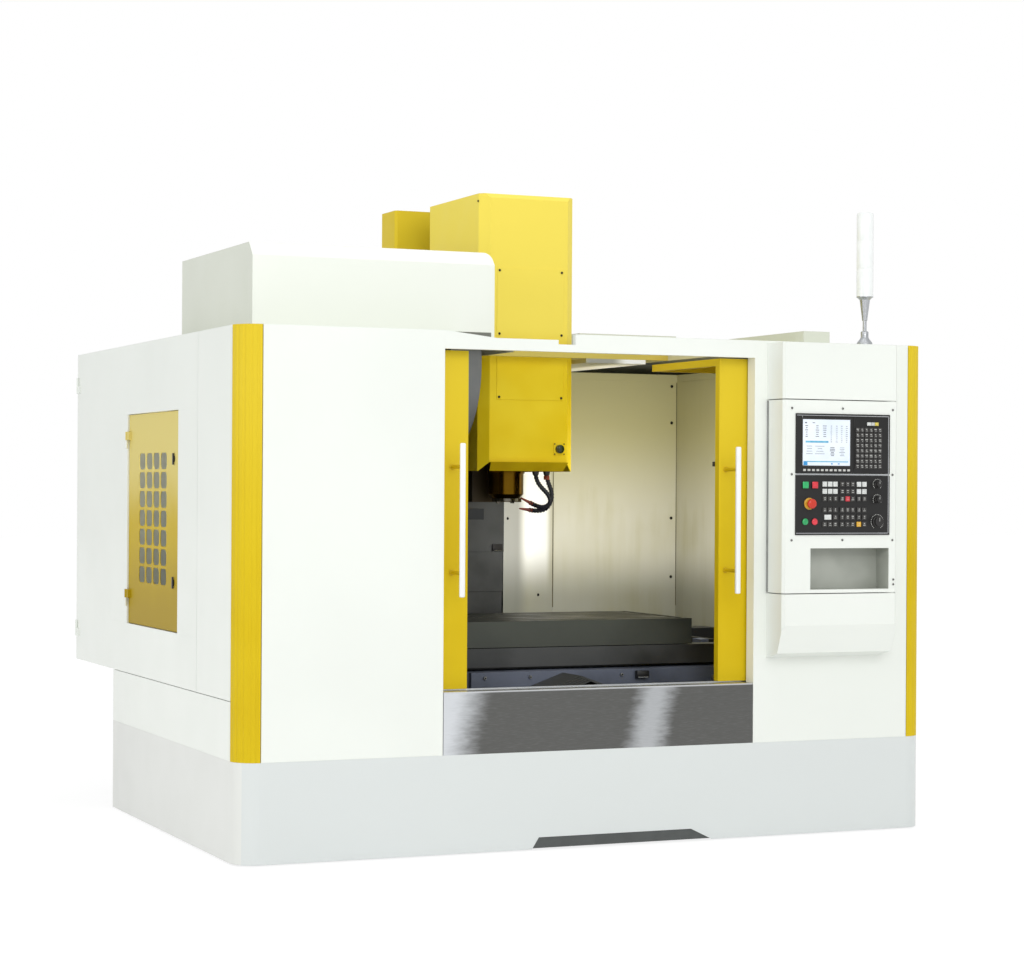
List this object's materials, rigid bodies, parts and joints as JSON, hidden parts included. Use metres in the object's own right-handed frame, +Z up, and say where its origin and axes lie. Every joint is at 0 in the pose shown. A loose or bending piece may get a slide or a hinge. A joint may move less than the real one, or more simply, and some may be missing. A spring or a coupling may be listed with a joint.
{
  "type": "vertical machining centre",
  "caption": "Vertical machining centre with a white sheet-metal enclosure, open sliding front doors, yellow head cover, swinging operator console and side tool magazine.",
  "frame": {"origin": "on the floor, straight below the spindle axis", "axes": "+X to the operator's right along the machine's width, +Y to the back, +Z up"},
  "size_m": [3.352, 3.027, 2.958],
  "materials": {
    "white_paint": "satin",
    "yellow_paint": "satin",
    "stainless": "brushed",
    "lining": "satin",
    "casting": "painted",
    "ground_steel": "ground",
    "dark_cover": "satin",
    "table_iron": "ground",
    "grey_paint": "satin",
    "black_plastic": "matte",
    "red_plastic": "gloss",
    "green_plastic": "gloss",
    "lamp_plastic": "satin",
    "window_glass": "clear",
    "hose_plastic": "matte",
    "blackened_steel": "satin"
  },
  "bodies": {
    "enclosure": {"base_skirt": "white_paint", "chamber_walls": "lining", "chip_pans": "stainless", "column": "casting", "console_housings": "white_paint", "corner_columns": "yellow_paint", "electrical_cabinet": "white_paint", "enclosure_panels": "white_paint", "fixed_way_covers": "dark_cover", "front_apron": "stainless", "front_panels": "white_paint", "guideways": "ground_steel", "levelling_feet": "grey_paint", "machine_bed": "casting", "magazine_cover": "white_paint", "roof_panels": "white_paint", "servo_motors": "blackened_steel", "signal_tower": "lamp_plastic", "tool_changer": "grey_paint", "z_drive_cover": "yellow_paint"},
    "left_door": {"left_door_frame": "yellow_paint", "left_door_window": "window_glass", "left_door_handle": "white_paint"},
    "right_door": {"right_door_frame": "yellow_paint", "right_door_window": "window_glass", "right_door_handle": "white_paint"},
    "console": {"console_box": "white_paint", "display_unit": "black_plastic", "operator_unit": "black_plastic"},
    "saddle": {"saddle": "casting", "saddle_way_covers": "stainless", "x_drive_housing": "blackened_steel"},
    "head": {"headstock": "casting", "head_cover": "yellow_paint", "spindle_cartridge": "ground_steel", "coolant_hoses": "hose_plastic", "z_way_cover_upper": "dark_cover"},
    "emergency_stop": {"emergency_stop": "red_plastic"},
    "square_button_left": {"square_button_left": "green_plastic"},
    "square_button_right": {"square_button_right": "red_plastic"},
    "round_button_left": {"round_button_left": "green_plastic"},
    "round_button_right": {"round_button_right": "red_plastic"},
    "feed_knob": {"feed_knob": "black_plastic"},
    "spindle_knob": {"spindle_knob": "black_plastic"},
    "mode_knob": {"mode_knob": "black_plastic"},
    "cabinet_door": {"cabinet_door": "white_paint"},
    "side_access_door": {"side_access_door": "yellow_paint"},
    "side_latch_lower": {"side_latch_lower": "black_plastic"},
    "side_latch_upper": {"side_latch_upper": "black_plastic"},
    "y_way_cover_front": {"y_way_cover_front": "dark_cover"},
    "y_way_cover_middle": {"y_way_cover_middle": "dark_cover"},
    "y_way_cover_rear": {"y_way_cover_rear": "dark_cover"},
    "table": {"table": "table_iron"},
    "x_ball_screw": {"x_ball_screw": "ground_steel"},
    "y_ball_screw": {"y_ball_screw": "ground_steel"},
    "z_ball_screw": {"z_ball_screw": "ground_steel"},
    "z_way_cover_middle": {"z_way_cover_middle": "dark_cover"},
    "spindle": {"spindle": "ground_steel"},
    "tool_disc": {"tool_disc": "grey_paint"},
    "tool_arm": {"tool_arm": "grey_paint"}
  },
  "joints": [
    {"name": "left_door_slide", "type": "slide", "parent": "enclosure", "child": "left_door", "axis": [1, 0, 0], "range_m": [0, 0.614]},
    {"name": "right_door_slide", "type": "slide", "parent": "enclosure", "child": "right_door", "axis": [-1, 0, 0], "range_m": [0, 0.614]},
    {"name": "console_swing", "type": "hinge", "parent": "enclosure", "child": "console", "pos_m": [1.42, -1.222, 1.5], "axis": [0, 0, 1], "range_deg": [0, 80]},
    {"name": "emergency_stop_push", "type": "slide", "parent": "console", "child": "emergency_stop", "axis": [0, 1, 0], "range_m": [0, 0.007], "stiffness_N_per_m": 400},
    {"name": "square_button_left_push", "type": "slide", "parent": "console", "child": "square_button_left", "axis": [0, 1, 0], "range_m": [0, 0.004], "stiffness_N_per_m": 300},
    {"name": "square_button_right_push", "type": "slide", "parent": "console", "child": "square_button_right", "axis": [0, 1, 0], "range_m": [0, 0.004], "stiffness_N_per_m": 300},
    {"name": "round_button_left_push", "type": "slide", "parent": "console", "child": "round_button_left", "axis": [0, 1, 0], "range_m": [0, 0.004], "stiffness_N_per_m": 300},
    {"name": "round_button_right_push", "type": "slide", "parent": "console", "child": "round_button_right", "axis": [0, 1, 0], "range_m": [0, 0.004], "stiffness_N_per_m": 300},
    {"name": "feed_knob_turn", "type": "hinge", "parent": "console", "child": "feed_knob", "pos_m": [1.308, -1.246, 1.603], "axis": [0, 1, 0], "range_deg": [-135, 135]},
    {"name": "spindle_knob_turn", "type": "hinge", "parent": "console", "child": "spindle_knob", "pos_m": [1.308, -1.246, 1.533], "axis": [0, 1, 0], "range_deg": [-135, 135]},
    {"name": "mode_knob_turn", "type": "hinge", "parent": "console", "child": "mode_knob", "pos_m": [1.308, -1.246, 1.432], "axis": [0, 1, 0], "range_deg": [-135, 135]},
    {"name": "cabinet_door_hinge", "type": "hinge", "parent": "enclosure", "child": "cabinet_door", "pos_m": [-1.676, 1.699, 1.5], "axis": [0, 0, 1], "range_deg": [0, 110]},
    {"name": "side_door_hinge", "type": "hinge", "parent": "enclosure", "child": "side_access_door", "pos_m": [-1.676, 0.7035, 1.4], "axis": [0, 0, -1], "range_deg": [0, 110]},
    {"name": "side_latch_lower_turn", "type": "hinge", "parent": "side_access_door", "child": "side_latch_lower", "pos_m": [-1.662, -0.085, 1.14], "axis": [1, 0, 0], "range_deg": [0, 90]},
    {"name": "side_latch_upper_turn", "type": "hinge", "parent": "side_access_door", "child": "side_latch_upper", "pos_m": [-1.662, -0.085, 1.698], "axis": [1, 0, 0], "range_deg": [0, 90]},
    {"name": "saddle_slide", "type": "slide", "parent": "enclosure", "child": "saddle", "axis": [0, 1, 0], "range_m": [-0.1, 0.55]},
    {"name": "y_way_cover_front_slide", "type": "slide", "parent": "enclosure", "child": "y_way_cover_front", "axis": [0, 1, 0], "range_m": [-0.026, 0.1385]},
    {"name": "y_way_cover_middle_slide", "type": "slide", "parent": "enclosure", "child": "y_way_cover_middle", "axis": [0, 1, 0], "range_m": [-0.051, 0.276]},
    {"name": "y_way_cover_rear_slide", "type": "slide", "parent": "enclosure", "child": "y_way_cover_rear", "axis": [0, 1, 0], "range_m": [-0.076, 0.4135]},
    {"name": "table_slide", "type": "slide", "parent": "saddle", "child": "table", "axis": [1, 0, 0], "range_m": [-0.65, 0.65]},
    {"name": "head_slide", "type": "slide", "parent": "enclosure", "child": "head", "axis": [0, 0, 1], "range_m": [-0.44, 0.06]},
    {"name": "z_way_cover_middle_slide", "type": "slide", "parent": "enclosure", "child": "z_way_cover_middle", "axis": [0, 0, 1], "range_m": [-0.221, 0.031]},
    {"name": "y_ball_screw_turn", "type": "hinge", "parent": "enclosure", "child": "y_ball_screw", "pos_m": [0, -0.09, 0.516], "axis": [0, 1, 0], "range_deg": [-2300, 12450]},
    {"name": "x_ball_screw_turn", "type": "hinge", "parent": "saddle", "child": "x_ball_screw", "pos_m": [0, -0.24, 0.806], "axis": [1, 0, 0], "range_deg": [-14700, 14700]},
    {"name": "z_ball_screw_turn", "type": "hinge", "parent": "enclosure", "child": "z_ball_screw", "pos_m": [0, 0.738, 1.8], "axis": [0, 0, 1], "range_deg": [-9950, 1400]},
    {"name": "spindle_spin", "type": "hinge", "parent": "head", "child": "spindle", "pos_m": [0, 0, 1.6], "axis": [0, 0, 1], "continuous": true},
    {"name": "tool_disc_turn", "type": "hinge", "parent": "enclosure", "child": "tool_disc", "pos_m": [-0.6, -0.12, 2.14], "axis": [1, 0, 0], "continuous": true},
    {"name": "tool_arm_swing", "type": "hinge", "parent": "enclosure", "child": "tool_arm", "pos_m": [-0.345, -0.06, 1.45], "axis": [0, 0, -1], "range_deg": [0, 80]}
  ],
  "couplings": [
    {"joint": "y_way_cover_front_slide", "follows": "saddle_slide", "ratio": 0.25},
    {"joint": "y_way_cover_middle_slide", "follows": "saddle_slide", "ratio": 0.5},
    {"joint": "y_way_cover_rear_slide", "follows": "saddle_slide", "ratio": 0.75},
    {"joint": "z_way_cover_middle_slide", "follows": "head_slide", "ratio": 0.5},
    {"joint": "y_ball_screw_turn", "follows": "saddle_slide", "rad_per_m": 392.7},
    {"joint": "x_ball_screw_turn", "follows": "table_slide", "rad_per_m": 392.7},
    {"joint": "z_ball_screw_turn", "follows": "head_slide", "rad_per_m": 392.7}
  ]
}
